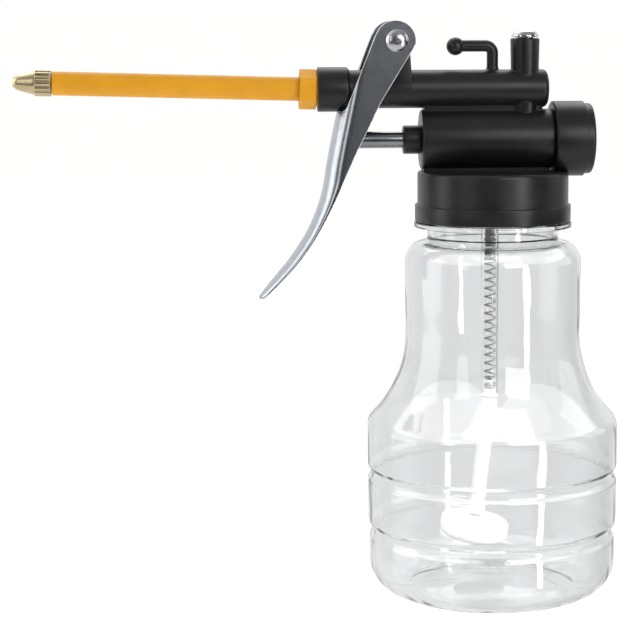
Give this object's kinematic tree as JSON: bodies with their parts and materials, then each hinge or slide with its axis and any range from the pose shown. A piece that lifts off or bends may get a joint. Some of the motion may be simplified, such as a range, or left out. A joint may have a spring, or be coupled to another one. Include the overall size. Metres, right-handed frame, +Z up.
{
  "type": "hand pump oiler",
  "caption": "Hand-squeezed pump oiler: clear grip-shaped bottle, screw-on black pump head with steel trigger lever, hanging hook, valve tower and rigid yellow spout with fluted brass tip.",
  "frame": {"origin": "bottom centre of the bounding box, on the surface that the bottle stands on; the bottle's axis is at x = 47.45 mm, y = 0", "axes": "+Z up along the bottle's axis; the spout points along -X; +Y is across the pump, away from the side that the front view shows"},
  "size_m": [0.1648, 0.07, 0.1588],
  "materials": {
    "clear_bottle": "clear, glossy, blow-moulded",
    "black_plastic": "fine matte moulded texture",
    "gasket": "soft, pale grey",
    "seal_rubber": "matte black",
    "bright_steel": "drawn and polished",
    "chromed_steel": "polished",
    "pressed_steel": "satin nickel plate",
    "white_plastic": "satin",
    "clear_tube": "clear, glossy",
    "milky_hose": "translucent, milky",
    "yellow_plastic": "satin, moulded",
    "brass": "machined, pale"
  },
  "bodies": {
    "bottle": {"bottle": "clear_bottle"},
    "closure": {"neck_gasket": "gasket"},
    "pump": {"pump_head": "black_plastic", "end_nut": "black_plastic", "end_nut_seal": "seal_rubber", "rod_gland": "black_plastic", "rod_seal": "seal_rubber", "return_spring": "bright_steel", "outlet_spring": "bright_steel", "valve_plug": "chromed_steel", "pivot_rivet": "chromed_steel", "intake_tube": "clear_tube", "intake_spring": "bright_steel", "intake_seat": "white_plastic", "suction_hose": "milky_hose", "suction_strainer": "white_plastic", "spout_nut": "yellow_plastic", "spout_tube": "yellow_plastic", "nozzle_tip": "brass", "spout_washer": "seal_rubber"},
    "trigger": {"trigger_lever": "pressed_steel"},
    "plunger": {"plunger_rod": "bright_steel", "piston": "white_plastic", "piston_cup": "seal_rubber"},
    "intake_valve": {"intake_ball": "bright_steel"},
    "outlet_valve": {"outlet_ball": "bright_steel"}
  },
  "joints": [
    {"name": "closure_lift", "type": "slide", "parent": "bottle", "child": "closure", "axis": [0, 0, 1], "range_m": [0, 0.0052]},
    {"name": "closure_turn", "type": "hinge", "parent": "closure", "child": "pump", "pos_m": [0.04745, 0, 0.1128], "axis": [0, 0, 1], "range_deg": [0, 450]},
    {"name": "trigger_squeeze", "type": "hinge", "parent": "pump", "child": "trigger", "pos_m": [0.02035, 0, 0.15335], "axis": [0, -1, 0], "range_deg": [0, 22], "stiffness_Nm_per_rad": 0.34, "springref_deg": -12.61},
    {"name": "plunger_slide", "type": "slide", "parent": "pump", "child": "plunger", "axis": [1, 0, 0], "range_m": [0, 0.0108], "deforming": ["return_spring"]},
    {"name": "intake_ball_lift", "type": "slide", "parent": "pump", "child": "intake_valve", "axis": [0, 0, 1], "range_m": [0, 0.0012], "stiffness_N_per_m": 20, "springref_m": -0.002, "deforming": ["intake_spring"]},
    {"name": "outlet_ball_lift", "type": "slide", "parent": "pump", "child": "outlet_valve", "axis": [0, 0, 1], "range_m": [0, 0.0012], "stiffness_N_per_m": 60, "springref_m": -0.002, "deforming": ["outlet_spring"]}
  ],
  "couplings": [
    {"joint": "closure_lift", "follows": "closure_turn", "m_per_rad": 0.00063662},
    {"joint": "plunger_slide", "follows": "trigger_squeeze", "m_per_rad": 0.0275}
  ]
}
